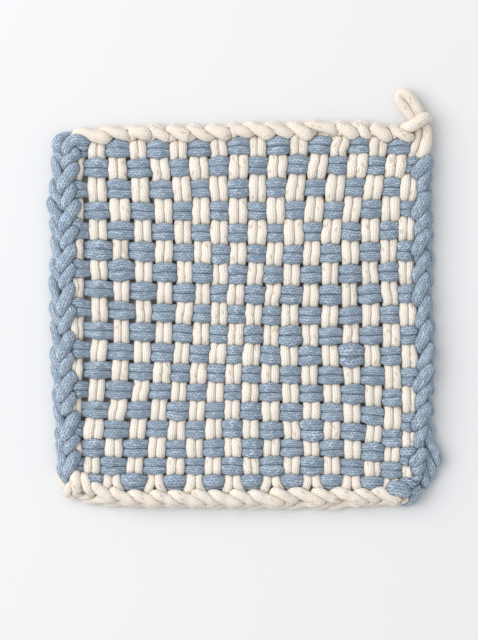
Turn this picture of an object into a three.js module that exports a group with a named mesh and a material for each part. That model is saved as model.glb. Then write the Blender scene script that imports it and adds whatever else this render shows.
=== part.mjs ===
// A square potholder, woven on a peg loom from eighteen cream and eighteen blue cotton loops.
// Each woven band is a loop's pair of strands, going over and under the bands that cross it.
// The loops' ends are chained into each other round the four sides, and the last one is left
// standing out of a corner as a hanging loop.
// Millimetres. The potholder lies on a table at z = 0, with +Y to its top side and +Z up.
import * as THREE from 'three';

// The bands
const BAND_THICK = 3.15;
const CROSSING_GAP = 0.4; // between the two bands of a crossing, one over the other
const SIDE_GAP = 0.95; // between bands side by side
const END_CUT = 0.3; // a band's ends stop short of the chain, which leans over them
const FLAT_SHARE = 0.23; // of the pitch: half the width of a band's flat top
const SHOULDER_SHARE = 0.27; // of the pitch: from a crossing to where the band starts to slope
const EDGE_REACH = 3.1; // from an outermost band's middle to the mat's edge, under the chain
const LAST_RISE = 3; // the last cream loop runs on past the mat's edge, to the corner bight
const LIFT = (BAND_THICK + CROSSING_GAP) / 2; // a band's middle line above or below the mat's
const MAT_THICK = 2 * LIFT + BAND_THICK;
const MAT_MIDDLE_Z = MAT_THICK / 2;

// Where the bands run. The mat isn't quite even, so each line is given at five places.
const MAT_CENTRE_Y = -5.7;
const WARP_STATION_STEP = 32.4; // from top to bottom
const WEFT_STATION_STEP = 32; // from left to right
const STATIONS = 5;

// Each row is one cream loop, from the left: its x at five heights.
const WARP_LINES = [
  { top: -65, upper: -65, middle: -64.5, lower: -65.2, bottom: -65.7 },
  { top: -57.5, upper: -57.5, middle: -56.7, lower: -58.3, bottom: -59.7 },
  { top: -49.7, upper: -48.2, middle: -47.8, lower: -49.3, bottom: -52.5 },
  { top: -41.5, upper: -39.6, middle: -39.2, lower: -40.4, bottom: -42.7 },
  { top: -33.3, upper: -31, middle: -31.4, lower: -32.6, bottom: -34.9 },
  { top: -26.1, upper: -23.6, middle: -23.2, lower: -25.7, bottom: -27.1 },
  { top: -18.1, upper: -16.4, middle: -16.4, lower: -18.3, bottom: -19.5 },
  { top: -10.3, upper: -9.9, middle: -9.6, lower: -11.3, bottom: -11.9 },
  { top: -2.3, upper: -2.5, middle: -3.3, lower: -4.9, bottom: -4.7 },
  { top: 5.5, upper: 4.9, middle: 3.7, lower: 2, bottom: 2.7 },
  { top: 12.9, upper: 11.9, middle: 10.3, lower: 10.1, bottom: 10.5 },
  { top: 20.9, upper: 19, middle: 17.6, lower: 18.1, bottom: 18.5 },
  { top: 29.5, upper: 26.5, middle: 25.4, lower: 25.7, bottom: 26.3 },
  { top: 37.4, upper: 34.1, middle: 33.3, lower: 33.7, bottom: 34.1 },
  { top: 44.4, upper: 41.4, middle: 41.1, lower: 41.9, bottom: 42.3 },
  { top: 52.1, upper: 49.2, middle: 49.5, lower: 50.7, bottom: 50.3 },
  { top: 59.5, upper: 56.4, middle: 57, lower: 58.3, bottom: 57.3 },
  { top: 67, upper: 63.5, middle: 64, lower: 65, bottom: 64 },
];

// Each row is one blue loop, from the top: its y at five places.
const WEFT_LINES = [
  { left: 59.1, midLeft: 58.9, middle: 60.1, midRight: 60.8, right: 60.3 },
  { left: 51.3, midLeft: 51.7, middle: 52.3, midRight: 53, right: 52.3 },
  { left: 42.9, midLeft: 42.9, middle: 43.5, midRight: 43.6, right: 43.7 },
  { left: 34.5, midLeft: 34.3, middle: 34.5, midRight: 34.7, right: 35.5 },
  { left: 27, midLeft: 26.3, middle: 25.7, midRight: 26.3, right: 27.3 },
  { left: 19.9, midLeft: 18.5, middle: 17.6, midRight: 17.9, right: 19.1 },
  { left: 12.4, midLeft: 10.7, middle: 9.8, midRight: 9.9, right: 10.9 },
  { left: 4.7, midLeft: 2.9, middle: 2.1, midRight: 1.7, right: 2.5 },
  { left: -3.3, midLeft: -4.9, middle: -5.7, midRight: -6.3, right: -5.9 },
  { left: -11.7, midLeft: -13.1, middle: -13.9, midRight: -14.4, right: -13.9 },
  { left: -19.7, midLeft: -20.9, middle: -21.7, midRight: -22.2, right: -22 },
  { left: -27.4, midLeft: -28.3, middle: -28.9, midRight: -29.5, right: -29.8 },
  { left: -35, midLeft: -35.8, middle: -36.2, midRight: -36.7, right: -37.6 },
  { left: -42.8, midLeft: -43.1, middle: -43.4, midRight: -43.9, right: -45.4 },
  { left: -50.6, midLeft: -50.8, middle: -50.7, midRight: -51, right: -53 },
  { left: -58.2, midLeft: -58.2, middle: -57.9, midRight: -58.1, right: -60.2 },
  { left: -65, midLeft: -65.2, middle: -65, midRight: -65.1, right: -66.7 },
  { left: -71.3, midLeft: -71.9, middle: -71.7, midRight: -71.6, right: -73 },
];

// The chains round the edge. Each row is a place along the side and the chain's outer edge there.
const CHAIN_GAP = 0.65;
const CHAIN_INSET = EDGE_REACH - SIDE_GAP / 2 + CHAIN_GAP; // from an outermost band's middle
const LINKS = 18;
const TOP_CHAIN_EDGE = [
  { along: -67.2, outer: 66.4 },
  { along: -56, outer: 67.6 },
  { along: -37, outer: 69.2 },
  { along: 6, outer: 69.6 },
  { along: 22, outer: 70.3 },
  { along: 40, outer: 70 },
  { along: 60.9, outer: 68 },
];
const BOTTOM_CHAIN_EDGE = [
  { along: -71, outer: -77.6 },
  { along: -56, outer: -79.4 },
  { along: -37, outer: -81.4 },
  { along: -17, outer: -82.1 },
  { along: 22, outer: -81.6 },
  { along: 42, outer: -81 },
  { along: 58, outer: -79.6 },
];
const LEFT_CHAIN_EDGE = [
  { along: 65.6, outer: -71.4 },
  { along: 52, outer: -74.9 },
  { along: 38, outer: -76.4 },
  { along: 12, outer: -75.8 },
  { along: -38, outer: -75.6 },
  { along: -62, outer: -73.4 },
  { along: -73.9, outer: -71.6 },
];
const RIGHT_CHAIN_EDGE = [
  { along: 55.5, outer: 72.6 },
  { along: 30, outer: 73.4 },
  { along: 0, outer: 73.8 },
  { along: -20, outer: 74.3 },
  { along: -47, outer: 73.1 },
  { along: -60.5, outer: 75.8 },
  { along: -70, outer: 73 },
  { along: -76.4, outer: 70.2 },
];
// The right chain's last link turns the corner, below the lowest blue band.
const RIGHT_CHAIN_CORNER = [
  { along: -76.8, inner: 58.6, outer: 69.6 },
  { along: -80.8, inner: 58.6, outer: 65.4 },
];

// A chain's section at a link's crest and in the groove between two links. across goes from
// 0 at the mat to 1 at the outer edge, and ahead is a share of the pitch along the chain, which
// gives each link its V.
const CREST = [
  { across: 0.04, z: 0, ahead: 0 },
  { across: 0, z: 3.6, ahead: 0.12 },
  { across: -0.1, z: 7.7, ahead: 0.2 },
  { across: 0.42, z: 6.9, ahead: -0.32 },
  { across: 0.84, z: 7, ahead: 0.1 },
  { across: 1, z: 3.3, ahead: 0.24 },
  { across: 0.88, z: 0, ahead: 0 },
];
const GROOVE = [
  { across: 0.06, z: 0, ahead: 0 },
  { across: 0.03, z: 3.4, ahead: 0.12 },
  { across: 0.08, z: 6.7, ahead: 0.2 },
  { across: 0.42, z: 5.6, ahead: -0.32 },
  { across: 0.74, z: 5.8, ahead: 0.1 },
  { across: 0.86, z: 3.2, ahead: 0.24 },
  { across: 0.8, z: 0, ahead: 0 },
];

// The hanging loop lies nearly on its side, one leg above and beside the other. Each row is a
// point of the cord's middle line, from one leg's foot round the tip to the other's.
const LOOP_CORD_DIAMETER = 4.7;
const LOOP_STEPS = 16;
const LOOP_SIDES = 8;
const LOOP_ROUTE = [
  { x: 64.7, y: 72.2, z: 3.1 },
  { x: 62.2, y: 75.1, z: 2.6 },
  { x: 59.7, y: 78.4, z: 2.6 },
  { x: 60.2, y: 80.6, z: 4.3 },
  { x: 63.1, y: 80.2, z: 6.6 },
  { x: 65.7, y: 77, z: 7.6 },
  { x: 68.1, y: 74, z: 6.9 },
];

// The bight that holds the hanging loop's foot: an arch of cord across the corner.
const CORNER_BIGHT_ROUTE = [
  { x: 62, y: 66.9, wide: 2.6, tall: 5.6 },
  { x: 63.6, y: 67.8, wide: 4.2, tall: 8 },
  { x: 67.6, y: 69.8, wide: 4.6, tall: 9.2 },
  { x: 71.6, y: 71.6, wide: 4.2, tall: 8 },
  { x: 73, y: 72.2, wide: 2.6, tall: 5.6 },
];
const BIGHT_SIDES = 12;

const CREAM_COTTON = { color: 0xeee4d3, roughness: 0.92, metalness: 0 };
const BLUE_COTTON = { color: 0x8aa2bd, roughness: 0.92, metalness: 0 };

// A closed solid through rings of points, which all have the same number of points.
function loft(rings) {
  const sides = rings[0].length;
  const points = rings.flat();
  const faces = [];
  for (let ring = 0; ring + 1 < rings.length; ring++) {
    for (let side = 0; side < sides; side++) {
      const here = ring * sides + side;
      const beside = ring * sides + ((side + 1) % sides);
      faces.push(here, beside, beside + sides, here, beside + sides, here + sides);
    }
  }
  const last = (rings.length - 1) * sides;
  for (let side = 1; side + 1 < sides; side++) {
    faces.push(0, side + 1, side, last, last + side, last + side + 1);
  }
  if (volume(points, faces) < 0) faces.reverse();
  const geometry = new THREE.BufferGeometry().setFromPoints(points);
  geometry.setIndex(faces);
  geometry.computeVertexNormals();
  return geometry;
}

function volume(points, faces) {
  const normal = new THREE.Vector3();
  let sum = 0;
  for (let face = 0; face < faces.length; face += 3) {
    normal.crossVectors(points[faces[face + 1]], points[faces[face + 2]]);
    sum += points[faces[face]].dot(normal) / 6;
  }
  return sum;
}

// The value of a smooth line through evenly spaced values, at a place counted in steps.
function smoothly(values, place) {
  const start = THREE.MathUtils.clamp(Math.floor(place), 0, values.length - 2);
  const t = place - start;
  const here = values[start];
  const next = values[start + 1];
  const before = start > 0 ? values[start - 1] : 2 * here - next;
  const after = start + 2 < values.length ? values[start + 2] : 2 * next - here;
  const slopeHere = (next - before) / 2;
  const slopeNext = (after - here) / 2;
  const rise = next - here;
  return here + t * (slopeHere + t * (3 * rise - 2 * slopeHere - slopeNext
    + t * (slopeHere + slopeNext - 2 * rise)));
}

function warpX(loop, y) {
  const fromTop = MAT_CENTRE_Y - y + (WARP_STATION_STEP * (STATIONS - 1)) / 2;
  return smoothly(Object.values(WARP_LINES[loop]), fromTop / WARP_STATION_STEP);
}

function weftY(loop, x) {
  const fromLeft = x + (WEFT_STATION_STEP * (STATIONS - 1)) / 2;
  return smoothly(Object.values(WEFT_LINES[loop]), fromLeft / WEFT_STATION_STEP);
}

// Where a cream and a blue loop cross, found by going from one line to the other.
function crossing(warp, weft) {
  const point = new THREE.Vector2();
  for (let pass = 0; pass < 5; pass++) {
    point.y = weftY(weft, point.x);
    point.x = warpX(warp, point.y);
  }
  return point;
}

// Plain weave: cream is on top at every second crossing, first under at the top left corner.
function creamIsOver(warp, weft) {
  return (warp + weft) % 2 === 1;
}

// How far it is from a crossing halfway to the one before and the one after, or to the edge.
function halfway(lines, index, at) {
  const here = at(index);
  const onward = Math.sign(at(lines - 1) - at(0));
  return {
    before: index > 0 ? (at(index - 1) - here) / 2 : -onward * EDGE_REACH,
    after: index + 1 < lines ? (at(index + 1) - here) / 2 : onward * EDGE_REACH,
  };
}

// A band's six-sided section: a flat top and bottom, and an edge on each side at mid height.
function bandRing(place, across, edges, z, toPoint) {
  const low = across + edges.low;
  const high = across + edges.high;
  const flatLow = across + edges.flatLow;
  const flatHigh = across + edges.flatHigh;
  return [
    toPoint(place, low, z),
    toPoint(place, flatLow, z - BAND_THICK / 2),
    toPoint(place, flatHigh, z - BAND_THICK / 2),
    toPoint(place, high, z),
    toPoint(place, flatHigh, z + BAND_THICK / 2),
    toPoint(place, flatLow, z + BAND_THICK / 2),
  ];
}

// One loop's woven band. alongAt and acrossAt give its crossings' places, sidesAt how far it
// may reach to each side there, and isOver whether it is on top. rise makes its start longer.
function wovenBand({ crossings, alongAt, acrossAt, sidesAt, isOver, toPoint, rise = 0 }) {
  const rings = [];
  for (let index = 0; index < crossings; index++) {
    const { before, after } = halfway(crossings, index, alongAt);
    const sides = sidesAt(index);
    const gap = SIDE_GAP / 2;
    const [low, high] = [sides.before, sides.after].sort((a, b) => a - b);
    const edges = {
      low: low + gap,
      high: high - gap,
      flatLow: 2 * FLAT_SHARE * low,
      flatHigh: 2 * FLAT_SHARE * high,
    };
    const z = MAT_MIDDLE_Z + (isOver(index) ? LIFT : -LIFT);
    const share = 2 * SHOULDER_SHARE;
    const ends = [
      { half: before, reach: index === 0 ? 1 : share, next: index - 1, cut: END_CUT - rise },
      { half: after, reach: index === crossings - 1 ? 1 : share, next: index + 1, cut: END_CUT },
    ];
    for (const { half, reach, next, cut } of ends) {
      const inside = next >= 0 && next < crossings;
      const lean = inside ? ((acrossAt(next) - acrossAt(index)) / 2) * reach : 0;
      const short = inside ? 0 : Math.sign(half) * (gap + cut);
      const place = alongAt(index) + half * reach - short;
      rings.push(bandRing(place, acrossAt(index) + lean, edges, z, toPoint));
    }
  }
  return loft(rings);
}

function warpBand(warp) {
  return wovenBand({
    crossings: WEFT_LINES.length,
    alongAt: (weft) => crossing(warp, weft).y,
    acrossAt: (weft) => crossing(warp, weft).x,
    sidesAt: (weft) => halfway(WARP_LINES.length, warp, (index) => crossing(index, weft).x),
    isOver: (weft) => creamIsOver(warp, weft),
    toPoint: (along, across, z) => new THREE.Vector3(across, along, z),
    rise: warp === WARP_LINES.length - 1 ? LAST_RISE : 0,
  });
}

function weftBand(weft) {
  return wovenBand({
    crossings: WARP_LINES.length,
    alongAt: (warp) => crossing(warp, weft).x,
    acrossAt: (warp) => crossing(warp, weft).y,
    sidesAt: (warp) => halfway(WEFT_LINES.length, weft, (index) => crossing(warp, index).y),
    isOver: (warp) => !creamIsOver(warp, weft),
    toPoint: (along, across, z) => new THREE.Vector3(along, across, z),
  });
}

// The value of a broken line through a table's rows, at a place along the side.
function edgeAt(rows, along) {
  const rising = rows[rows.length - 1].along > rows[0].along ? 1 : -1;
  let row = 1;
  while (row + 1 < rows.length && rising * along > rising * rows[row].along) row++;
  const [from, to] = [rows[row - 1], rows[row]];
  const share = (along - from.along) / (to.along - from.along);
  return THREE.MathUtils.lerp(from.outer, to.outer, THREE.MathUtils.clamp(share, 0, 1));
}

// One side's chain: a bar with a V-shaped crest for each link. innerAt gives the mat's edge, and
// corner the places at its end where it turns the corner.
function edgeChain({ edge, innerAt, toPoint, corner = [] }) {
  const start = edge[0].along;
  const end = edge[edge.length - 1].along;
  const pitch = (end - start) / LINKS;
  const rings = [];
  for (let half = 0; half <= 2 * LINKS; half++) {
    const along = start + (half * pitch) / 2;
    const section = half % 2 === 0 ? GROOVE : CREST;
    const atAnEnd = half === 0 || half === 2 * LINKS;
    rings.push(section.map(({ across, z, ahead }) => {
      const place = atAnEnd ? along : along + ahead * pitch;
      const inner = innerAt(place);
      return toPoint(place, THREE.MathUtils.lerp(inner, edgeAt(edge, place), across), z);
    }));
  }
  for (const { along, inner, outer } of corner) {
    rings.push(GROOVE.map(({ across, z }) =>
      toPoint(along, THREE.MathUtils.lerp(inner, outer, Math.max(across, 0)), z)));
  }
  return loft(rings);
}

function topChain() {
  return edgeChain({
    edge: TOP_CHAIN_EDGE,
    innerAt: (x) => weftY(0, x) + CHAIN_INSET,
    toPoint: (along, across, z) => new THREE.Vector3(along, across, z),
  });
}

function bottomChain() {
  return edgeChain({
    edge: [...BOTTOM_CHAIN_EDGE].reverse(),
    innerAt: (x) => weftY(WEFT_LINES.length - 1, x) - CHAIN_INSET,
    toPoint: (along, across, z) => new THREE.Vector3(along, across, z),
  });
}

function leftChain() {
  return edgeChain({
    edge: [...LEFT_CHAIN_EDGE].reverse(),
    innerAt: (y) => warpX(0, y) - CHAIN_INSET,
    toPoint: (along, across, z) => new THREE.Vector3(across, along, z),
  });
}

function rightChain() {
  return edgeChain({
    edge: RIGHT_CHAIN_EDGE,
    innerAt: (y) => warpX(WARP_LINES.length - 1, y) + CHAIN_INSET,
    toPoint: (along, across, z) => new THREE.Vector3(across, along, z),
    corner: RIGHT_CHAIN_CORNER,
  });
}

function hangingLoop() {
  const route = new THREE.CatmullRomCurve3(
    LOOP_ROUTE.map(({ x, y, z }) => new THREE.Vector3(x, y, z)), false, 'centripetal');
  const { normals, binormals } = route.computeFrenetFrames(LOOP_STEPS);
  const rings = normals.map((normal, step) => {
    const middle = route.getPointAt(step / LOOP_STEPS);
    return Array.from({ length: LOOP_SIDES }, (_, side) => {
      const turn = ((side + 0.5) / LOOP_SIDES) * 2 * Math.PI;
      const radius = LOOP_CORD_DIAMETER / 2 / Math.cos(Math.PI / LOOP_SIDES);
      return middle.clone()
        .addScaledVector(normal, radius * Math.cos(turn))
        .addScaledVector(binormals[step], radius * Math.sin(turn));
    });
  });
  return loft(rings);
}

// An arch-shaped section at each point of the route: flat on the table and round on top.
function cornerBight() {
  const first = CORNER_BIGHT_ROUTE[0];
  const last = CORNER_BIGHT_ROUTE[CORNER_BIGHT_ROUTE.length - 1];
  const direction = new THREE.Vector2(last.x - first.x, last.y - first.y).normalize();
  const rings = CORNER_BIGHT_ROUTE.map(({ x, y, wide, tall }) =>
    Array.from({ length: BIGHT_SIDES }, (_, side) => {
      const turn = (side / (BIGHT_SIDES - 1)) * Math.PI;
      const across = (Math.cos(turn) * wide) / 2;
      const z = Math.sin(turn) * tall;
      return new THREE.Vector3(x - direction.y * across, y + direction.x * across, z);
    }));
  return loft(rings);
}

const potholder = new THREE.Group();

function add(name, geometry, finish) {
  const mesh = new THREE.Mesh(geometry, new THREE.MeshStandardMaterial(finish));
  mesh.name = name;
  potholder.add(mesh);
}

function numbered(name, index) {
  return `${name}_${String(index + 1).padStart(2, '0')}`;
}

WARP_LINES.forEach((_, warp) => add(numbered('warp_loop', warp), warpBand(warp), CREAM_COTTON));
WEFT_LINES.forEach((_, weft) => add(numbered('weft_loop', weft), weftBand(weft), BLUE_COTTON));
add('edge_chain_top', topChain(), CREAM_COTTON);
add('edge_chain_bottom', bottomChain(), CREAM_COTTON);
add('edge_chain_left', leftChain(), BLUE_COTTON);
add('edge_chain_right', rightChain(), BLUE_COTTON);
add('corner_bight', cornerBight(), CREAM_COTTON);
add('hanging_loop', hangingLoop(), CREAM_COTTON);

// The origin is under the middle of the whole potholder, on the table.
const bounds = new THREE.Box3().setFromObject(potholder);
const middle = bounds.getCenter(new THREE.Vector3());
potholder.position.set(-middle.x, -middle.y, -bounds.min.z);

export default potholder;
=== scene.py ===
import math

import bpy
import numpy as np
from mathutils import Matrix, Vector


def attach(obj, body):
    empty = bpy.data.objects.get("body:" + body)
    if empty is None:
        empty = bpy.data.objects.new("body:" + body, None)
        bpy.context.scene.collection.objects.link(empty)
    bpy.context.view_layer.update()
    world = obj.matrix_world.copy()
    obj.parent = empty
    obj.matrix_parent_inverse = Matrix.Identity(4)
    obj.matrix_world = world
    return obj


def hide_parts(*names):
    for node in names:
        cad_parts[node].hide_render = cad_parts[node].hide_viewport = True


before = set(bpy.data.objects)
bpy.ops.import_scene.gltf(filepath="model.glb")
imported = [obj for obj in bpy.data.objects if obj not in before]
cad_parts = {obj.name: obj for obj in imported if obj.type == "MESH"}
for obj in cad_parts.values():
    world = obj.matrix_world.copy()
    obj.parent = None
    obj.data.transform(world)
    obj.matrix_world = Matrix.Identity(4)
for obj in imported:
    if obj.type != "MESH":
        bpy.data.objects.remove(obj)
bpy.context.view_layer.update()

# A woven potholder: eighteen cream and eighteen blue loops of knitted cotton cord in plain weave,
# their ends chained into each other round the four sides. Each loop is one closed cord, so a
# piece here is a whole loop. Lengths are in millimetres, which MM turns into metres.
MM = 0.001
LOOPS = 18
PITCH = 7.8  # between neighbouring loops
SEED = 7

# Places measured in the photo: a pixel's width, and where one of its points lies on the table
PIXEL = 0.39
PHOTO_POINT = (244.5, 299.5)
POINT_PLACE = (0.30, -0.61)

# The cord
HIDDEN_RADIUS = 1.15  # where it is drawn tight, under the chain
OUTER_RADIUS = 1.8  # an outer arm of the edge chain
SQUEEZE = 0.84  # of the radius: how close the cord lets its neighbours come
FULLNESS = 1.17  # how far it swells beyond its radius where nothing presses on it

# The mat: each colour's strands where they pass over and where they turn under
STRANDS = {
    "cream": {"over_radius": 1.63, "turn_radius": 1.5, "over_apart": 2.8, "turn_apart": 2.6},
    "blue": {"over_radius": 1.82, "turn_radius": 1.55, "over_apart": 3.15, "turn_apart": 2.8},
}
MAT_MIDDLE_Z = 3.35
WEAVE_RISE = 1.78  # a strand's middle above or below the mat's, where it passes over or under
SHOULDER_RISE = 1.35  # the same, a little before and after
SHOULDER = 0.27  # how far before and after, in pitches
CROSSING_HOLD = 0.2  # how firmly a strand keeps its place there, from 0 to 1
CROSSING_TURNS = 5  # of looking for the place where two loops' lines cross
UNEVEN_PLACE = 0.22  # how far hand weaving leaves a strand out of place
UNEVEN_RADIUS = 0.07  # as a share of the radius
UNEVEN_APART = 0.08  # as a share of the distance between a loop's two strands
UNEVEN_SLANT = 0.07  # sideways, as a share of the way along
# The cream loops are fuller near the top, where they press the blue ones narrow: row and share
FULLER_ROWS = [(0, 1.03), (1, 1.12), (3, 1.11), (5, 1.01), (7, 0.96), (10, 1.0)]
# The blue loops sag towards the lower end of the right side
SAG = 3.0
SAG_ROW = 13.5  # where they sag most
SAG_ROWS = 3  # how many rows either way it fades over
SAG_COLUMN = 13  # the last column without it
# Where a cream loop comes out from under the lowest blue one, its strands part, left and right
SPLAY = {-1: -0.95, 1: 1.3}
SPLAY_START = 0.3  # the share of that in the middle of the crossing
# The lowest blue loop's lower strand lies tucked beneath its upper one: by how far each is moved
# up the mat and upwards, and its thickness as a share
TUCK = {1: (-0.7, 0.1, 1.2), -1: (0.5, -1.0, 0.9)}

# The edge chain
BEND_AHEAD = 2.6  # from the next link's start to the bend that closes round it
OUTER_SHARE = 0.5  # where an outer arm reaches the edge, from its start to its bend
FAR_SHARE = 0.93  # where it leaves the edge again
OUTER_INSET = 0.5  # how far inside the edge line it is at the first of the two
ARM_HIGH = 6.6  # an inner arm's middle above the table
LAST_HOLD = 0.08  # how firmly the last two links keep their places

# Settling the cords against each other
FINE_STEPS = 12  # between two rows of a line, before its points are spread evenly
POINT_STEP = 1.1  # between the points of a cord's line
SETTLE_ROUNDS = 160
SEARCH_EVERY = 12  # rounds between two searches for neighbours
SEARCH_REACH = 6.0
SEARCH_SPARE = 6  # points along its own cord that a point never pushes
GIVE_WAY = 0.5  # of an overlap: each of the two cords
PUSH_GAIN = 1.4
EVEN_OUT = 0.12  # of the way to the middle of a point's two neighbours, each round
STRETCH_TURNS = 2
STRETCH_BACK = 0.25  # of the way to its old length, each turn
HEIGHT_HOLD = 0.5  # how firmly heights are kept, as a share of places
TABLE_SQUEEZE = 0.94  # of the radius: how close the cord's middle comes to the table

# Making the meshes
RING_STEP = 0.64  # between the rings of points round a cord
NEARLY_UPRIGHT = 0.2  # a direction's sideways part, below which it counts as upright
RING_REACH = 5.2  # how far off a ring's neighbours are looked for
RING_SPARE = 12  # rings along its own cord that never press on a ring
CORD_SIDES = 18
SKIN_GAP = 0.03  # kept free by each of two cords that meet
LEAST_FACING = 0.05  # below this a neighbour lies beside a direction, not in its way
FAR_AWAY = 1000.0
THINNEST = 0.3  # from a cord's middle to its skin
MOST_SWELL = 1.16  # how much a pressed cord bulges to its free sides, at most
STITCH_LENGTH = 1.15  # along the cord
WALES = 7  # columns of stitches round the cord
STITCH_LEAN = 0.9  # how far along the cord a stitch's leg reaches, in stitches
PAINTED_CHAIN_LIGHT_FADE = 2.5  # from the mat's edge to where the painted light and shade of the edge chain is full

# The knitted cotton
FIBRES_ALONG = 2.3  # in each stitch
FIBRES_AROUND = 4.1  # in each wale
FIBRE_CONTRAST = 1.2  # from the noise's value to a tone between dark and light
FIBRE_BASE = -0.35
LEG_SHARE = 0.5  # how much of a leg's tone is its own, the rest is its fibres'
OTHER_DRAW = 17.0  # makes another random value out of a leg's own
SPECK_STRENGTH = 0.7
LEG_FULLNESS = 1.25  # how soon a leg reaches its full colour, out of the painted shade in the groove
STITCH_BUMP = 0.3  # how high a stitch stands
# Each cotton's colours: the painted shade in the groove between legs, the legs' darkest and
# lightest, and the specks, with the share of legs that are specks and how much the cord in the edge
# chain is painted lighter (blue, painted light) or darker (cream, painted shade)
COTTONS = {
    "cream_cotton": {
        "painted_groove_shade": (0.7, 0.605, 0.495), "dark": (0.87, 0.798, 0.705), "light": (0.99, 0.948, 0.873),
        "speck": (0.6, 0.47, 0.35), "speck_share": 0.05, "painted_chain_light_tone": -0.32,
    },
    "blue_cotton": {
        "painted_groove_shade": (0.07, 0.105, 0.155), "dark": (0.195, 0.27, 0.36), "light": (0.62, 0.73, 0.85),
        "speck": (0.60, 0.69, 0.78), "speck_share": 0.04, "painted_chain_light_tone": 0.07,
    },
}

# The surface it lies on, the light and the camera
FLOOR_HALF = 1500  # half the floor's width
FLOOR_WHITE = (0.735, 0.74, 0.75)
SKY_WHITE = (0.97, 0.98, 1)
SKY_STRENGTH = 0.74
LIGHT_PLACE = (-970, 350, 1060)
LIGHT_SIZE = 1600
LIGHT_POWER = 19.6
LIGHT_TINT = (1, 0.99, 0.975)
PHOTO_HEIGHT = 640  # in pixels
VIEW_CENTRE = (-1.84, -8.6)  # the point of the table in the middle of the picture
LENS = 160
SENSOR = 36
MAT_TOP = 5  # the height at which a pixel of the photo is PIXEL wide

random = np.random.default_rng(SEED)


# The mat's lines, read from the woven bands' solids

def band_line(node, along, across):
    """The middle line of a woven band: places along it, and its place across at each of them."""
    points = np.array([vertex.co[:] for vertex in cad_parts[node].data.vertices]) / MM
    stations = np.round(points[:, along], 1)
    places = np.unique(stations)
    middles = [(points[stations == s, across].min() + points[stations == s, across].max()) / 2
               for s in places]
    return places, np.array(middles)


cream_lines = [band_line(f"warp_loop_{n:02d}", 1, 0) for n in range(1, LOOPS + 1)]
blue_lines = [band_line(f"weft_loop_{n:02d}", 0, 1) for n in range(1, LOOPS + 1)]


def cream_x(column, y):
    """The middle of a cream loop, left to right, at a place up the mat."""
    return np.interp(y, *cream_lines[column])


def blue_y(row, x):
    """The middle of a blue loop, up the mat, at a place left to right."""
    return np.interp(x, *blue_lines[row])


def crossing(column, row):
    """Where two loops cross: each one's line is followed to the other in turn."""
    x, y = 0.0, 0.0
    for _ in range(CROSSING_TURNS):
        y = blue_y(row, x)
        x = cream_x(column, y)
    return x, y


crossings = np.array([[crossing(column, row) for row in range(LOOPS)] for column in range(LOOPS)])


def cream_over(column, row):
    """Whether the cream loop passes over the blue one there."""
    return (column + row) % 2 == 1


# The edge chain. It runs down the right side, leftwards along the bottom, up the left side and
# rightwards along the top. Each loop's end comes up through the loop before it and lies down
# along the chain as a V, whose inner arm lies over the next loop's strands.
# Places on the table are measured in pixels of the photo, x to the right and y down.

def on_table(x, y):
    """A place measured in the photo, in millimetres of the part's own frame."""
    return np.array([(x - PHOTO_POINT[0]) * PIXEL + POINT_PLACE[0],
                     (PHOTO_POINT[1] - y) * PIXEL + POINT_PLACE[1]])


# The inner arm of each link, in the chain's order: where it starts, then where its tip lies
ARMS = {
    "right": [
        (426.8, 160, 417.5, 173), (424.5, 174, 421, 188), (425.5, 196, 417, 214),
        (425, 216, 418.5, 230), (424.5, 234, 416, 251), (425, 258, 416.5, 275),
        (424.5, 279, 417, 299), (426.5, 301, 420, 321), (427, 327, 421, 344),
        (430, 349, 423, 364), (428.5, 369, 418.5, 386), (426, 387, 419.5, 402),
        (425.5, 409, 417, 425), (422.5, 428, 417, 443), (422, 452, 414.5, 462.5),
        (419.5, 465.5, 414, 471), (417.5, 475.5, 412.5, 478.5), (406.5, 489.5, 393.5, 487.5),
    ],
    "bottom": [
        (405, 494, 392, 488), (397.5, 498.5, 376.5, 490.5), (375, 498, 359, 492.5),
        (363.5, 500, 339.5, 492.5), (335, 499, 317, 492), (320, 501, 296, 491.5),
        (293, 499.5, 275.5, 492), (278.5, 502, 254, 495.5), (254.5, 500.5, 235, 494),
        (238, 502, 213, 495.5), (216.5, 500.5, 195, 494), (200.5, 501.5, 173.5, 495.5),
        (178, 500.5, 154.5, 495.5), (156, 501.5, 134, 495), (134, 500.5, 114, 492.5),
        (110.5, 497.5, 93.5, 485), (90.5, 490, 83.5, 477.5), (77.5, 489.5, 74.5, 472.5),
    ],
    "left": [
        (70, 478, 75.5, 469), (67.5, 472.5, 75.5, 455), (69, 448, 74.5, 438), (66, 436, 74, 417),
        (66, 412, 71.5, 396), (62, 396, 72, 377), (64, 370, 68.5, 356), (61.5, 356, 70, 336),
        (63, 328, 71, 310), (61.5, 310, 70.5, 288), (64, 283, 71.5, 268), (61.5, 266, 72, 250),
        (66, 243, 74, 229), (64.5, 226, 75, 206), (66.5, 205, 71.5, 188), (62.5, 187, 73.5, 168),
        (67, 163, 76.5, 152.5), (67, 150, 85, 141),
    ],
    "top": [
        (78, 133.5, 104.5, 138), (107, 131, 125, 135.5), (131, 131, 146.5, 134),
        (152, 130, 165.5, 137), (171.5, 130, 186, 136), (190.5, 130, 205.5, 136),
        (211, 130, 225.5, 134), (231, 129, 247, 132.5), (250.5, 127, 268.5, 134),
        (270, 127, 287.5, 134), (294, 127, 307, 135), (310.5, 125.5, 334, 129.5),
        (338.5, 127, 353, 134), (359, 126.5, 366, 135), (374.5, 129, 386, 136.5),
        (393, 130.5, 409, 137.5), (410, 127, 428, 117.5), (418, 131, 427, 130),
    ],
}
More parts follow.
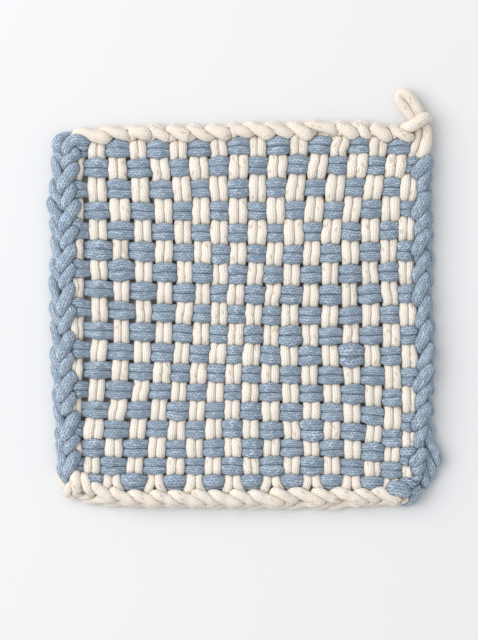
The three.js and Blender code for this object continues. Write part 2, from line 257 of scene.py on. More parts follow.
# The middle line of the outer arms, which makes the edge: x and y, all along each side
EDGES = {
    "right": [(425, 160), (426.5, 180), (427, 200), (427.5, 240), (428.5, 260), (427, 300),
              (429, 320), (430, 345), (428.5, 370), (428.5, 385), (427.5, 420), (431, 440),
              (437, 458), (431, 470), (423, 481)],
    "bottom": [(403, 497), (389, 499), (373, 501), (353, 502.5), (334, 504.5), (322, 503.5),
               (265, 504), (240, 503), (190, 503), (145, 502.5), (119, 501.5), (98, 499.5),
               (75, 495), (67, 490)],
    "left": [(64, 478), (62.5, 460), (61.5, 440), (60, 420), (58.5, 400), (57, 370), (55.5, 345),
             (56.5, 320), (54.5, 302), (53.5, 288), (56, 260), (56, 240), (55, 220),
             (51.5, 200), (56.5, 180), (56.5, 160), (61, 140)],
    "top": [(72, 137.5), (100, 136), (134, 133), (190, 132.5), (230, 132.5), (250, 131.5),
            (300, 130.5), (360, 129.5), (385, 130.5), (400, 133)],
}
RUN = {"right": (0, -1), "bottom": (-1, 0), "left": (0, 1), "top": (1, 0)}
OUT = {"right": (1, 0), "bottom": (0, -1), "left": (-1, 0), "top": (0, 1)}
# An inner arm's radius on odd and even loops, its neck's as a share of that, and the height of
# an outer arm's middle
ARM_SIZES = {
    "right": {"odd": 2.05, "even": 1.8, "neck": 0.86, "outer_high": 2.6},
    "bottom": {"odd": 1.8, "even": 1.65, "neck": 0.86, "outer_high": 2.5},
    "left": {"odd": 2.05, "even": 1.8, "neck": 0.95, "outer_high": 3.5},
    "top": {"odd": 2.1, "even": 1.75, "neck": 0.74, "outer_high": 2.3},
}
# How far from the middle of its outermost crossing a loop's two strands leave the mat: the
# first backwards along the chain, the second forwards, and both outwards
LEAVES = {
    "right": (1.9, 1.9, 3.0), "bottom": (3.6, 2.8, 4.0), "left": (1.9, 1.9, 3.0),
    "top": (1.9, 1.9, 3.0),
}


def edge_place(side, place):
    """The place on a side's edge line beside another place."""
    line = np.array([on_table(x, y) for x, y in EDGES[side]])
    along = 1 if side in ("right", "left") else 0
    line = line[np.argsort(line[:, along])]
    beside = np.interp(place[along], line[:, along], line[:, 1 - along])
    return np.array([beside, place[1]] if along == 1 else [place[0], beside])


def link(side, number):
    """A link's places on the table that don't depend on its neighbours'."""
    run, out = np.array(RUN[side], float), np.array(OUT[side], float)
    column, row = {
        "right": (LOOPS - 1, number), "bottom": (LOOPS - 1 - number, LOOPS - 1),
        "left": (0, LOOPS - 1 - number), "top": (number, 0),
    }[side]
    sizes = ARM_SIZES[side]
    behind, ahead, outwards = LEAVES[side]
    middle = crossings[column, row]
    mine = column if side in ("bottom", "top") else row
    arm = ARMS[side][number]
    return {
        "side": side, "column": column, "high": ARM_HIGH, "outer_high": sizes["outer_high"],
        "radius": sizes["odd" if mine % 2 == 0 else "even"], "neck": sizes["neck"],
        "start": on_table(*arm[:2]), "inner": on_table(*arm[2:]),
        "behind": middle - run * behind + out * outwards,
        "ahead": middle + run * ahead + out * outwards,
    }


# Crossings unlike the others: their shift to the right and up, how far the cream loop slants,
# and as shares of the others', how far apart its strands lie, how thick the left and right ones
# are and how full the blue loop is. The last cream loop leans outwards where the hanging loop
# starts.
PLAIN_CROSSING = {"shift": 0.0, "raise": 0.0, "slant": 0.0, "apart": 1.0, "left": 1.0,
                  "right": 1.0, "blue": 1.0}
OWN_CROSSINGS = {
    (17, 0): {"shift": 2.2, "slant": 0.3, "left": 0.75, "right": 1.15},
    (17, 1): {"shift": 0.5},
    (17, 2): {"shift": -0.5},
    (16, 0): {"shift": 0.6},
    (16, 1): {"shift": 0.2, "slant": 0.25, "apart": 1.05, "left": 1.05, "right": 1.05},
    (17, 16): {"shift": 0.4, "apart": 0.85, "right": 0.9},
    (11, 0): {"raise": 1.0},
    (2, 5): {"apart": 0.9, "left": 0.85, "right": 0.85},
    (16, 9): {"apart": 1.15, "left": 1.1, "right": 1.1},
    (1, 5): {"blue": 1.2}, (2, 4): {"blue": 1.12}, (2, 6): {"blue": 1.2},
    (14, 10): {"blue": 1.27}, (12, 14): {"blue": 1.25}, (12, 10): {"blue": 1.1},
    (14, 12): {"blue": 1.12}, (10, 16): {"blue": 1.1},
    (1, 14): {"shift": -0.4, "slant": 0.1, "apart": 1.25, "left": 1.2, "right": 1.2},
    (1, 16): {"shift": -0.7},
}
# Single crossings where the cream loop slants more than the rest: how far it goes to the right
# for its way up
SLANTS = {
    (13, 0): 0.38, (4, 1): -0.12, (10, 1): 0.17, (12, 1): 0.2, (14, 1): 0.2, (1, 2): -0.1,
    (11, 2): 0.15, (15, 2): 0.16, (12, 3): 0.1, (14, 3): 0.1, (13, 4): 0.12, (12, 5): 0.12,
    (1, 6): -0.14, (8, 7): 0.12, (10, 7): 0.15, (16, 7): -0.18, (13, 8): 0.18, (7, 10): 0.12,
    (3, 12): 0.17, (2, 13): 0.12,
}
for place, slant in SLANTS.items():
    OWN_CROSSINGS.setdefault(place, {})["slant"] = slant
# The first cream loop is drawn under the left chain
for row in range(1, LOOPS - 1):
    OWN_CROSSINGS[0, row] = {"shift": -1.2, "apart": 0.7, "left": 0.85, "right": 0.85}
for place, own in OWN_CROSSINGS.items():
    crossings[place] += (own.get("shift", 0), own.get("raise", 0))
for column in range(SAG_COLUMN + 1, LOOPS):
    for row in range(LOOPS):
        share = ((column - SAG_COLUMN) / (LOOPS - 1 - SAG_COLUMN)) ** 2
        crossings[column, row][1] -= SAG * share * max(0, 1 - abs(row - SAG_ROW) / SAG_ROWS)

# Round the corners some links lie higher or lower than along the sides, or bend another way
CORNER_LINKS = {
    ("right", 0): {"behind": on_table(415, 146), "ahead": on_table(415, 151)},
    ("right", 13): {"outer": on_table(434, 450), "far": on_table(437.5, 460),
                    "bend": on_table(430, 466), "outer_high": 4.2},
    ("right", 14): {"outer": on_table(432, 468), "far": on_table(428.5, 477.5),
                    "bend": on_table(423, 478), "outer_high": 3.0, "radius": 2.1},
    ("right", 15): {"outer": on_table(423, 475), "far": on_table(423.5, 483.5),
                    "bend": on_table(418, 486), "outer_high": 3.4, "radius": 1.85},
    ("right", 16): {"outer": on_table(419, 481), "far": on_table(416, 488), "high": 5.8,
                    "bend": on_table(410, 491), "radius": 1.7, "outer_high": 2.0},
    ("right", 17): {"outer": on_table(416.5, 487.5), "far": on_table(412.5, 497.5),
                    "bend": on_table(401, 503), "high": 7.0, "radius": 2.4, "outer_high": 4.2},
    ("bottom", 0): {"outer": on_table(397.5, 499.5), "far": on_table(389, 501.5), "high": 3.4,
                    "radius": 1.6},
    ("bottom", 16): {"outer": on_table(86, 494.5), "far": on_table(77, 491.5)},
    ("bottom", 17): {"outer": on_table(65, 483), "far": on_table(64, 474),
                     "bend": on_table(68, 468), "radius": 1.75},
    ("left", 0): {"high": 4.2, "radius": 1.5},
    ("left", 1): {"radius": 1.85},
    ("left", 17): {"outer": on_table(57, 146), "far": on_table(62, 138),
                   "bend": on_table(75, 134), "crown": on_table(73, 140), "radius": 1.85},
    ("top", 15): {"bend": on_table(412, 132)},
}

chain = [link(side, number) for side in RUN for number in range(LOOPS)]
for (side, number), places in CORNER_LINKS.items():
    chain[list(RUN).index(side) * LOOPS + number].update(places)
for number, this in enumerate(chain):
    after = chain[(number + 1) % len(chain)]
    way = after["start"] - this["start"]
    this["way"] = way / np.linalg.norm(way)
    this["off"] = np.array([-this["way"][1], this["way"][0]])
    this.setdefault("bend", after["start"] + this["way"] * BEND_AHEAD)
    if "outer" in this:
        this.setdefault("far", (this["outer"] + this["bend"]) / 2)
    for name, share, inset in (("outer", OUTER_SHARE, OUTER_INSET), ("far", FAR_SHARE, 0)):
        between = this["start"] * (1 - share) + this["bend"] * share
        edge = edge_place(this["side"], between) - np.array(OUT[this["side"]]) * inset
        this.setdefault(name, edge)
    this.setdefault("crown", (this["start"] + this["inner"]) / 2)

# The last two links have shapes of their own, x, y, z and radius. The last cream loop's end
# stands out of the corner as the hanging loop, and the end before it is wrapped round its foot.
HANGING_LOOP = [
    (68.1, 65.3, 4.7, 1.35),
    (67.5, 67.6, 3.8, 1.3),
    (66.3, 69.7, 3.2, 1.6),
    (63.9, 73.1, 2.9, 1.9),
    (61.5, 76.4, 2.9, 1.9),
    (60.7, 78.8, 3.3, 1.85),
    (62.0, 80.1, 4.4, 1.8),
    (64.1, 79.2, 5.0, 1.75),
    (66.5, 76.1, 5.0, 1.72),
    (68.3, 73.0, 4.8, 1.7),
    (69.4, 70.1, 4.2, 1.45),
    (71.0, 67.4, 4.2, 1.45),
    (71.7, 65.0, 4.8, 1.6),
]
WRAPPED_END = [
    (58.4, 61.4, 2.0, 1.3),
    (61.0, 64.6, 3.2, 1.3),
    (62.8, 65.8, 5.4, 1.75),
    (64.2, 66.4, 6.9, 2.0),
    (66.6, 67.6, 7.7, 2.05),
    (68.9, 69.2, 7.8, 2.05),
    (70.4, 70.3, 6.9, 1.9),
    (71.2, 69.9, 5.0, 1.6),
    (70.9, 68.2, 3.2, 1.5),
    (69.8, 67.0, 2.0, 1.3),
    (67.6, 66.0, 1.6, 1.25),
    (65.2, 65.0, 1.6, 1.25),
    (63.0, 63.8, 1.9, 1.25),
    (61.5, 62.0, 1.8, 1.25),
]

# A loop's end, from its strand behind to its strand ahead: where each point lies between two of
# the link's places, then shifted along the chain and outwards, its height (an arm's from its
# own), which part of the cord it is, how thick that is there and how firmly it keeps its place.
BIGHT = [
    # from     to       share  along  off   height  cord     thick  hold
    ("behind", "behind", 0.0, 0.0, 0.0, 2.5, "hidden", 1.35, 0.06),
    ("start", "start", 0.0, -1.8, -2.0, 1.9, "hidden", 1.0, 0.03),
    ("start", "start", 0.0, -1.4, -0.6, 2.8, "hidden", 1.0, 0.05),
    ("start", "outer", 0.1, -0.3, -0.2, 0.7, "outer", 1.0, 0.1),
    ("start", "outer", 0.55, 0.0, 0.0, 0.5, "outer", 1.0, 0.2),
    ("outer", "outer", 0.0, 0.0, 0.0, 0.0, "outer", 1.0, 0.35),
    ("far", "far", 0.0, 0.0, 0.0, -0.6, "outer", 1.0, 0.35),
    ("bend", "bend", 0.0, 0.0, 0.0, 1.9, "hidden", 1.0, 0.03),
    ("bend", "inner", 0.6, 0.0, 0.0, 3.2, "hidden", 1.25, 0.04),
    ("inner", "inner", 0.0, 0.0, 0.0, -0.9, "inner", 1.03, 0.4),
    ("inner", "crown", 0.66, 0.0, 0.0, -0.1, "inner", 1.0, 0.4),
    ("crown", "start", 0.34, 0.0, 0.0, -0.2, "neck", 1.12, 0.4),
    ("start", "start", 0.0, 0.0, 0.0, -1.1, "neck", 1.0, 0.3),
    ("start", "start", 0.0, -0.6, -0.6, 3.7, "hidden", 1.3, 0.04),
    ("start", "start", 0.0, 0.4, -2.0, 1.9, "hidden", 1.0, 0.03),
    ("ahead", "ahead", 0.0, 0.0, 0.0, 2.5, "hidden", 1.35, 0.06),
]


def bight(this):
    """The middle line of a loop's end, with each point's radius and hold."""
    if this["side"] == "top" and this["column"] >= LOOPS - 2:
        own = HANGING_LOOP if this["column"] == LOOPS - 1 else WRAPPED_END
        return [(*row, LAST_HOLD) for row in own]
    radius = {"hidden": HIDDEN_RADIUS, "outer": OUTER_RADIUS, "inner": this["radius"],
              "neck": this["radius"] * this["neck"]}
    base = {"hidden": 0, "outer": this["outer_high"], "inner": this["high"], "neck": this["high"]}
    rows = []
    for first, second, share, along, off, height, cord, thick, hold in BIGHT:
        place = this[first] * (1 - share) + this[second] * share
        x, y = place + this["way"] * along + this["off"] * off
        rows.append((x, y, base[cord] + height, radius[cord] * thick, hold))
    return rows


def mat_strand(column, row, along_column, sign):
    """A strand's middle line across the mat, three points at each crossing it passes. The sign
    says which of a loop's two strands it is: 1 is a cream loop's right or a blue one's upper."""
    cotton = STRANDS["cream" if along_column else "blue"]
    points = []
    for step in range(LOOPS):
        place = (column, step) if along_column else (step, row)
        wave = 1 if cream_over(*place) == along_column else -1
        own = {**PLAIN_CROSSING, **OWN_CROSSINGS.get(place, {})}
        if along_column:
            fuller = np.interp(step, *zip(*FULLER_ROWS))
            size, spread = own["left" if sign < 0 else "right"] * fuller, own["apart"] * fuller
        else:
            size = spread = own["blue"]
        x, y = crossings[place]
        aside = x - cream_x(column, y) if along_column else y - blue_y(row, x)
        nudge_x, nudge_y, nudge_z = random.normal(0, UNEVEN_PLACE, 3)
        thick = size * (1 + random.normal(0, UNEVEN_RADIUS))
        slant = (own["slant"] if along_column else 0) + random.normal(0, UNEVEN_SLANT)
        for share in (-SHOULDER, 0, SHOULDER):
            turning = share != 0
            z = MAT_MIDDLE_Z + wave * (SHOULDER_RISE if turning else WEAVE_RISE)
            radius = cotton["turn_radius" if turning else "over_radius"] * thick
            apart = spread * cotton["turn_apart" if turning else "over_apart"]
            shift = sign * apart * (1 + random.normal(0, UNEVEN_APART)) / 2
            if along_column and step == LOOPS - 1 and wave == 1 and share >= 0:
                shift += SPLAY[sign] * (1.0 if share > 0 else SPLAY_START)
            shift -= slant * share * PITCH
            if along_column:
                y_here = y - share * PITCH
                point = (cream_x(column, y_here) + aside + shift, y_here, z)
            else:
                x_here = x + share * PITCH
                point = (x_here, blue_y(row, x_here) + aside + shift, z)
                if row == LOOPS - 1 and wave == 1:
                    up_mat, upwards, thicker = TUCK[sign]
                    point = (point[0], point[1] + up_mat, z + upwards)
                    radius *= thicker
            points.append((point[0] + nudge_x, point[1] + nudge_y, point[2] + nudge_z,
                           radius, CROSSING_HOLD))
    return points


def cream_loop(column):
    """A cream loop's closed line: up its left strand, through the top chain, and back down."""
    left = mat_strand(column, None, True, -1)[::-1]
    right = mat_strand(column, None, True, 1)
    top = bight(chain[3 * LOOPS + column])
    bottom = bight(chain[2 * LOOPS - 1 - column])
    return left + top + right + bottom


def blue_loop(row):
    """A blue loop's closed line: rightwards along its upper strand, and back along its lower."""
    upper = mat_strand(None, row, False, 1)
    lower = mat_strand(None, row, False, -1)[::-1]
    right = bight(chain[row])
    left = bight(chain[3 * LOOPS - 1 - row])
    return upper + right + lower + left


def spread_evenly(rows, step):
    """A closed line through the rows, rounded between them, with points about a step apart."""
    rows = np.array(rows, float)
    before, after, beyond = (np.roll(rows, shift, axis=0) for shift in (1, -1, -2))
    fine = []
    for t in np.linspace(0, 1, FINE_STEPS, endpoint=False):
        fine.append(0.5 * (2 * rows + (after - before) * t
                           + (2 * before - 5 * rows + 4 * after - beyond) * t ** 2
                           + (3 * rows - before - 3 * after + beyond) * t ** 3))
    fine = np.stack(fine, axis=1).reshape(-1, rows.shape[1])
    closed = np.vstack([fine, fine[:1]])
    lengths = np.linalg.norm(np.diff(closed[:, :3], axis=0), axis=1)
    run = np.concatenate([[0], np.cumsum(lengths)])
    count = int(round(run[-1] / step))
    places = np.arange(count) * run[-1] / count
    return np.stack([np.interp(places, run, closed[:, c]) for c in range(closed.shape[1])], axis=1)


def near_pairs(points, reach):
    """Each pair of points nearer than reach, found by sorting the points into cells."""
    cells = np.floor((points - points.min(axis=0)) / reach).astype(np.int64) + 1
    wide = cells.max(axis=0) + 2
    keys = (cells[:, 0] * wide[1] + cells[:, 1]) * wide[2] + cells[:, 2]
    order = np.argsort(keys, kind="stable")
    sorted_keys = keys[order]
    ones, others = [], []
    offsets = [(i, j, k) for i in (-1, 0, 1) for j in (-1, 0, 1) for k in (-1, 0, 1)]
    for i, j, k in offsets:
        wanted = keys + (i * wide[1] + j) * wide[2] + k
        first = np.searchsorted(sorted_keys, wanted, "left")
        count = np.searchsorted(sorted_keys, wanted, "right") - first
        one = np.repeat(np.arange(len(points)), count)
        within = np.arange(count.sum()) - np.repeat(np.cumsum(count) - count, count)
        other = order[np.repeat(first, count) + within]
        close = np.linalg.norm(points[one] - points[other], axis=1) < reach
        ones.append(one[close])
        others.append(other[close])
    return np.concatenate(ones), np.concatenate(others)


class Cords:
    """All the loops' lines as one set of points: each has its loop, its place and its size."""

    def __init__(self, lines):
        self.counts = [len(line) for line in lines]
        self.starts = np.concatenate([[0], np.cumsum(self.counts)])[:-1]
        rows = np.vstack(lines)
        self.points = rows[:, :3].copy()
        self.radius = rows[:, 3].copy()
        self.hold = rows[:, 4].copy()
        self.loop = np.repeat(np.arange(len(lines)), self.counts)
        index = np.arange(len(rows))
        starts = self.starts[self.loop]
        counts = np.array(self.counts)[self.loop]
        self.after = starts + (index - starts + 1) % counts
        self.before = starts + (index - starts - 1) % counts
        self.place = index - starts
        self.count = counts

    def strangers(self, reach, spare):
        """Near pairs that aren't neighbours on one cord, each way round."""
        one, other = near_pairs(self.points, reach)
        apart = np.abs(self.place[one] - self.place[other])
        apart = np.minimum(apart, self.count[one] - apart)
        keep = (self.loop[one] != self.loop[other]) | (apart > spare)
        return one[keep], other[keep]


def settle(cords):
    """Lets the cords push each other apart for a set number of rounds, and evens their bends."""
    home = cords.points.copy()
    rest = np.linalg.norm(cords.points[cords.after] - cords.points, axis=1)
    lowest = cords.radius * TABLE_SQUEEZE
    for turn in range(SETTLE_ROUNDS):
        if turn % SEARCH_EVERY == 0:
            one, other = cords.strangers(SEARCH_REACH, SEARCH_SPARE)
            room = (cords.radius[one] + cords.radius[other]) * SQUEEZE
        points = cords.points
        apart = points[one] - points[other]
        gap = np.linalg.norm(apart, axis=1) + 1e-9
        short = np.maximum(room - gap, 0)
        push = apart / gap[:, None] * (short * GIVE_WAY)[:, None]
        touching = (short > 0).astype(float)
        total = np.stack([np.bincount(one, push[:, c], len(points)) for c in range(3)], axis=1)
        number = np.bincount(one, touching, len(points))
        moved = points + total / np.maximum(number, 1)[:, None] * PUSH_GAIN
        middle = (moved[cords.after] + moved[cords.before]) / 2
        moved += (middle - moved) * EVEN_OUT
        for _ in range(STRETCH_TURNS):
            span = moved[cords.after] - moved
            length = np.linalg.norm(span, axis=1)
            fix = span * ((length - rest) / length * STRETCH_BACK)[:, None]
            moved += fix - fix[cords.before]
        pull = cords.hold[:, None] * (home - moved)
        pull[:, 2] *= HEIGHT_HOLD
        moved += pull
        moved[:, 2] = np.maximum(moved[:, 2], lowest)
        cords.points = moved


lines = [spread_evenly(cream_loop(column), POINT_STEP) for column in range(LOOPS)]
lines += [spread_evenly(blue_loop(row), POINT_STEP) for row in range(LOOPS)]
cords = Cords(lines)
settle(cords)


# The cord's surface

def carried_sides(ahead):
    """Two directions across the cord at each ring, carried along it with no twist left over."""
    first = np.cross(ahead[0], (0.0, 0.0, 1.0))
    if np.linalg.norm(first) < NEARLY_UPRIGHT:
        first = np.cross(ahead[0], (1.0, 0.0, 0.0))
    side = np.empty_like(ahead)
    here = first / np.linalg.norm(first)
    for ring, direction in enumerate(ahead):
        here = here - direction * (here @ direction)
        here = here / np.linalg.norm(here)
        side[ring] = here
    last = here - ahead[0] * (here @ ahead[0])
    last = last / np.linalg.norm(last)
    left_over = math.atan2(np.cross(last, side[0]) @ ahead[0], last @ side[0])
    other = np.cross(ahead, side)
    turn = left_over * np.arange(len(ahead)) / len(ahead)
    turned = side * np.cos(turn)[:, None] + other * np.sin(turn)[:, None]
    return turned, np.cross(ahead, turned)


def rings_of(points, radius):
    """A cord's points respaced for its mesh, each with its radius and the directions across it."""
    rows = np.hstack([points, radius[:, None]])
    rows = spread_evenly(rows, RING_STEP)
    ahead = np.roll(rows[:, :3], -1, axis=0) - np.roll(rows[:, :3], 1, axis=0)
    ahead /= np.linalg.norm(ahead, axis=1)[:, None]
    return rows, carried_sides(ahead)


def pressed_reach(rings, directions):
    """How far each ring's surface reaches in each direction: to the cord's radius, or to where
    it meets a neighbour's."""
    one, other = rings.strangers(RING_REACH, RING_SPARE)
    order = np.argsort(one, kind="stable")
    one, other = one[order], other[order]
    radius = rings.radius.copy()
    for last in (False, True):
        apart = rings.points[other] - rings.points[one]
        gap = np.linalg.norm(apart, axis=1)
        toward = apart / gap[:, None]
        meet = (gap ** 2 + radius[one] ** 2 - radius[other] ** 2) / (2 * gap) - SKIN_GAP
        edges = np.flatnonzero(np.r_[True, one[1:] != one[:-1]])
        owners = one[edges]
        reach = np.repeat(radius[:, None], CORD_SIDES, axis=1)
        for side in range(CORD_SIDES):
            facing = np.einsum("ij,ij->i", directions[one, side], toward)
            limit = meet / np.maximum(facing, LEAST_FACING)
            limit = np.where(facing > LEAST_FACING, limit, FAR_AWAY)
            nearest = np.minimum.reduceat(limit, edges)
            reach[owners, side] = np.minimum(reach[owners, side], nearest)
        reach = np.maximum(reach, THINNEST)
        beside = np.roll(reach, -1, axis=1)
        area = (reach * beside).sum(axis=1)
        full = CORD_SIDES * rings.radius ** 2
        if not last:
            radius = rings.radius * np.clip(np.sqrt(full / area), 1.0, MOST_SWELL)
    return reach


ring_rows, ring_sides = [], []
for number in range(2 * LOOPS):
    mine = cords.loop == number
    rows, sides = rings_of(cords.points[mine], cords.radius[mine])
    ring_rows.append(np.hstack([rows, np.zeros((len(rows), 1))]))
    ring_sides.append(sides)
rings = Cords(ring_rows)
rings.radius *= FULLNESS
angles = np.arange(CORD_SIDES) * 2 * np.pi / CORD_SIDES
side_a = np.vstack([sides[0] for sides in ring_sides])
side_b = np.vstack([sides[1] for sides in ring_sides])
directions = (side_a[:, None, :] * np.cos(angles)[None, :, None]
              + side_b[:, None, :] * np.sin(angles)[None, :, None])
reach = pressed_reach(rings, directions)
surface = rings.points[:, None, :] + directions * reach[:, :, None]
surface[:, :, 2] = np.maximum(surface[:, :, 2], 0.0)
mat_centre = crossings.reshape(-1, 2).mean(axis=0)
mat_half = (LOOPS - 1) * PITCH / 2


def cord_mesh(name, skin, material):
    """A closed tube through rings of surface points, with its stitches counted off as a UV map
    and an attribute that is 0 in the mat and 1 in the edge chain, where the cotton paints light and
    shade."""
    count, sides = skin.shape[:2]
    ring, side = np.meshgrid(np.arange(count), np.arange(sides), indexing="ij")
    next_ring, next_side = (ring + 1) % count, (side + 1) % sides
    corners = np.stack([ring * sides + side, ring * sides + next_side,
                        next_ring * sides + next_side, next_ring * sides + side], axis=-1)
    mesh = bpy.data.meshes.new(name)
    mesh.from_pydata((skin.reshape(-1, 3) * MM).tolist(), [], corners.reshape(-1, 4).tolist())
    centre = skin.mean(axis=1)
    steps = np.linalg.norm(np.roll(centre, -1, axis=0) - centre, axis=1)
    along = np.concatenate([[0], np.cumsum(steps)])
    along *= round(along[-1] / STITCH_LENGTH) / along[-1]
    u = np.stack([along[:-1], along[:-1], along[1:], along[1:]], axis=-1)
    v = np.stack([side, side + 1, side + 1, side], axis=-1) * WALES / sides
    u = np.broadcast_to(u[:, None, :], v.shape)
    stitches = mesh.uv_layers.new(name="Stitches")
    stitches.data.foreach_set("uv", np.stack([u, v], axis=-1).astype(np.float32).ravel())
    # painted light and shade: a mask that is 0 in the mat and 1 in the edge chain, where blue cord
    # is painted lighter and cream cord darker
    beyond = (np.abs(skin.reshape(-1, 3)[:, :2] - mat_centre) - mat_half).max(axis=1)
    painted_chain_light = mesh.attributes.new("PaintedChainLight", "FLOAT", "POINT")
    painted_chain_light.data.foreach_set("value", np.clip(beyond / PAINTED_CHAIN_LIGHT_FADE, 0, 1).astype(np.float32))
    mesh.polygons.foreach_set("use_smooth", np.ones(len(mesh.polygons), bool))
    mesh.materials.append(material)
    mesh.update()
    piece = bpy.data.objects.new(name, mesh)
    bpy.context.scene.collection.objects.link(piece)
    return piece


def add_node(tree, kind, inputs=(), **settings):
    """A node with its settings, its inputs linked from sockets or set to plain values."""
    node = tree.nodes.new(kind)
    for name, value in settings.items():
        setattr(node, name, value)
    for place, source in enumerate(inputs):
        if source is None:
            continue
        if isinstance(source, bpy.types.NodeSocket):
            tree.links.new(source, node.inputs[place])
        else:
            node.inputs[place].default_value = source
    return node


def maths(tree, operation, *values):
    """The result of one sum."""
    return add_node(tree, "ShaderNodeMath", values, operation=operation).outputs[0]


def knit_stitches_group():
    """The V stitches of the knitted cord: their height, a random value for each leg, and fibres."""
    tree = bpy.data.node_groups.new("knit_stitches", "ShaderNodeTree")
    tree.interface.new_socket("Stitches", in_out="INPUT", socket_type="NodeSocketVector")
    for name in ("Height", "Leg Random", "Fibre"):
        tree.interface.new_socket(name, in_out="OUTPUT", socket_type="NodeSocketFloat")
    start = tree.nodes.new("NodeGroupInput")
    end = tree.nodes.new("NodeGroupOutput")
    places = add_node(tree, "ShaderNodeSeparateXYZ", [start.outputs["Stitches"]])
    along, around = places.outputs[0], places.outputs[1]
    in_wale = maths(tree, "SUBTRACT", maths(tree, "FRACT", around), 0.5)
    from_middle = maths(tree, "ABSOLUTE", in_wale)
    leaning = maths(tree, "MULTIPLY_ADD", from_middle, STITCH_LEAN * 2, along)
    across_leg = maths(tree, "MULTIPLY_ADD", from_middle, 4.0, -1.0)
    leg = maths(tree, "SUBTRACT", 1.0, maths(tree, "MULTIPLY", across_leg, across_leg))
    down_leg = maths(tree, "MULTIPLY_ADD", maths(tree, "FRACT", leaning), 2.0, -1.0)
    stitch = maths(tree, "SUBTRACT", 1.0, maths(tree, "MULTIPLY", down_leg, down_leg))
    height = maths(tree, "SQRT", maths(tree, "MULTIPLY", leg, stitch))
    tree.links.new(height, end.inputs["Height"])
    number = add_node(tree, "ShaderNodeCombineXYZ", [
        maths(tree, "FLOOR", leaning), maths(tree, "FLOOR", maths(tree, "MULTIPLY", around, 2.0))])
    leg_random = add_node(tree, "ShaderNodeTexWhiteNoise", [number.outputs[0]],
                          noise_dimensions="3D")
    tree.links.new(leg_random.outputs["Value"], end.inputs["Leg Random"])
    fibre_place = add_node(tree, "ShaderNodeCombineXYZ", [
        maths(tree, "MULTIPLY", leaning, FIBRES_ALONG),
        maths(tree, "MULTIPLY", around, FIBRES_AROUND)])
    fibre = add_node(tree, "ShaderNodeTexNoise", noise_dimensions="2D")
    tree.links.new(fibre_place.outputs[0], fibre.inputs["Vector"])
    fibre.inputs["Scale"].default_value = 1.0
    fibre.inputs["Detail"].default_value = 2.0
    tree.links.new(fibre.outputs[0], end.inputs["Fibre"])
    return tree


knit_stitches = knit_stitches_group()


def mixed(tree, factor, first, second):
    """A colour between two others, each a socket or a plain colour."""
    node = add_node(tree, "ShaderNodeMix", data_type="RGBA")
    colours = [socket for socket in node.inputs if socket.type == "RGBA"]
    for socket, source in zip([node.inputs["Factor"], *colours], (factor, first, second)):
        if isinstance(source, bpy.types.NodeSocket):
            tree.links.new(source, socket)
        else:
            socket.default_value = (*source, 1)
    return [socket for socket in node.outputs if socket.type == "RGBA"][0]


def cotton(name, painted_groove_shade, dark, light, speck, speck_share, painted_chain_light_tone):
    """Knitted cotton: each leg of a stitch between dark and light, some of them specks, and painted
    shade in the groove between the legs. The cord in the edge chain gets painted light or painted
    shade, by the sign of its tone."""
    material = bpy.data.materials.new(name)
    material.use_nodes = True
    tree = material.node_tree
    shader = tree.nodes["Principled BSDF"]
    shader.inputs["Roughness"].default_value = 0.92
    shader.inputs["Sheen Weight"].default_value = 0.2
    shader.inputs["Sheen Roughness"].default_value = 0.6
    shader.inputs["Specular IOR Level"].default_value = 0.2
    stitches = add_node(tree, "ShaderNodeUVMap", uv_map="Stitches")
    knit = add_node(tree, "ShaderNodeGroup", node_tree=knit_stitches)
    tree.links.new(stitches.outputs[0], knit.inputs[0])
    own_random = knit.outputs["Leg Random"]
    fibre = maths(tree, "MULTIPLY_ADD", knit.outputs["Fibre"], FIBRE_CONTRAST, FIBRE_BASE)
    blend = maths(tree, "ADD", maths(tree, "MULTIPLY", own_random, LEG_SHARE),
                  maths(tree, "MULTIPLY", fibre, 1 - LEG_SHARE))
    # painted light and shade on the edge chain: the blue cord lighter, the cream cord darker
    painted_chain_light = add_node(tree, "ShaderNodeAttribute", attribute_name="PaintedChainLight")
    blend = maths(tree, "MULTIPLY_ADD", painted_chain_light.outputs["Fac"], painted_chain_light_tone, blend)
    yarn = mixed(tree, blend, dark, light)
    other_random = maths(tree, "FRACT", maths(tree, "MULTIPLY", own_random, OTHER_DRAW))
    is_speck = maths(tree, "LESS_THAN", other_random, speck_share)
    yarn = mixed(tree, maths(tree, "MULTIPLY", is_speck, SPECK_STRENGTH), yarn, speck)
    # painted shade: the colour darkens towards the groove colour where the stitch's height is low,
    # between the legs
    out_of_groove_shade = maths(tree, "MULTIPLY", knit.outputs["Height"], LEG_FULLNESS)
    out_of_groove_shade = maths(tree, "MINIMUM", out_of_groove_shade, 1.0)
    tree.links.new(mixed(tree, out_of_groove_shade, painted_groove_shade, yarn), shader.inputs["Base Color"])
    bump = add_node(tree, "ShaderNodeBump")
    bump.inputs["Strength"].default_value = 0.8
    bump.inputs["Distance"].default_value = STITCH_BUMP * MM
    tree.links.new(knit.outputs["Height"], bump.inputs["Height"])
    tree.links.new(bump.outputs[0], shader.inputs["Normal"])
    return material


cream_cotton = cotton("cream_cotton", **COTTONS["cream_cotton"])
blue_cotton = cotton("blue_cotton", **COTTONS["blue_cotton"])

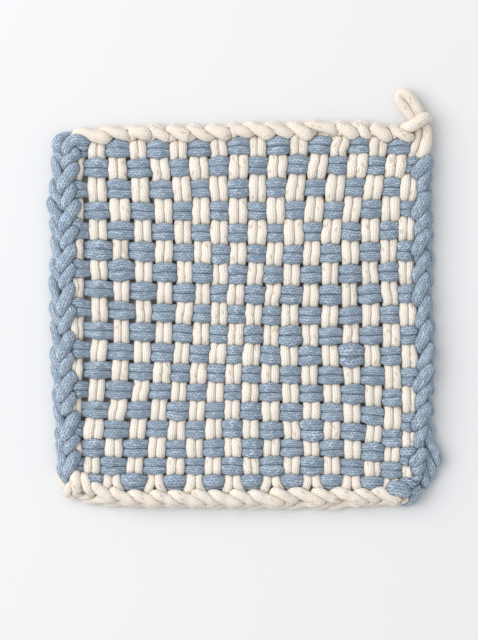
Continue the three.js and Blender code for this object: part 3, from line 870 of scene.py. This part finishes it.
for column in range(LOOPS):
    skin = surface[rings.loop == column]
    piece = cord_mesh(f"cream_loop_{column + 1:02d}", skin, cream_cotton)
    nodes = [f"warp_loop_{column + 1:02d}", "edge_chain_top", "edge_chain_bottom"]
    if column == LOOPS - 1:
        nodes += ["hanging_loop", "corner_bight"]
    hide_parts(*nodes)
    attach(piece, "root")
for row in range(LOOPS):
    skin = surface[rings.loop == LOOPS + row]
    piece = cord_mesh(f"blue_loop_{row + 1:02d}", skin, blue_cotton)
    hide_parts(f"weft_loop_{row + 1:02d}", "edge_chain_left", "edge_chain_right")
    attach(piece, "root")

# The surface it lies on, the light and the camera
floor_mesh = bpy.data.meshes.new("floor")
floor_corners = [(x * FLOOR_HALF * MM, y * FLOOR_HALF * MM, 0)
                 for x, y in ((-1, -1), (1, -1), (1, 1), (-1, 1))]
floor_mesh.from_pydata(floor_corners, [], [(0, 1, 2, 3)])
floor = bpy.data.objects.new("floor", floor_mesh)
bpy.context.scene.collection.objects.link(floor)
floor_white = bpy.data.materials.new("floor_white")
floor_white.use_nodes = True
floor_shader = floor_white.node_tree.nodes["Principled BSDF"]
floor_shader.inputs["Base Color"].default_value = (*FLOOR_WHITE, 1)
floor_shader.inputs["Roughness"].default_value = 0.95
floor_shader.inputs["Specular IOR Level"].default_value = 0.1
floor_mesh.materials.append(floor_white)

camera_data = bpy.data.cameras.new("camera")
camera_data.lens = LENS
camera_data.sensor_width = SENSOR
camera_data.sensor_fit = "AUTO"
camera = bpy.data.objects.new("camera", camera_data)
camera_high = PHOTO_HEIGHT * PIXEL * LENS / SENSOR + MAT_TOP
camera.location = Vector((*VIEW_CENTRE, camera_high)) * MM
camera_data.clip_start = 0.05
camera_data.clip_end = 10
bpy.context.scene.collection.objects.link(camera)
bpy.context.scene.camera = camera

world = bpy.data.worlds.new("studio")
world.use_nodes = True
background = world.node_tree.nodes["Background"]
background.inputs["Color"].default_value = (*SKY_WHITE, 1)
background.inputs["Strength"].default_value = SKY_STRENGTH
bpy.context.scene.world = world

light_data = bpy.data.lights.new("soft_light", "AREA")
light_data.shape = "DISK"
light_data.size = LIGHT_SIZE * MM
light_data.energy = LIGHT_POWER
light_data.color = LIGHT_TINT
light = bpy.data.objects.new("soft_light", light_data)
light.location = Vector(LIGHT_PLACE) * MM
light.rotation_mode = "QUATERNION"
light.rotation_quaternion = (-Vector(LIGHT_PLACE)).to_track_quat("-Z", "Y")
bpy.context.scene.collection.objects.link(light)
bpy.context.scene.view_settings.view_transform = "Standard"
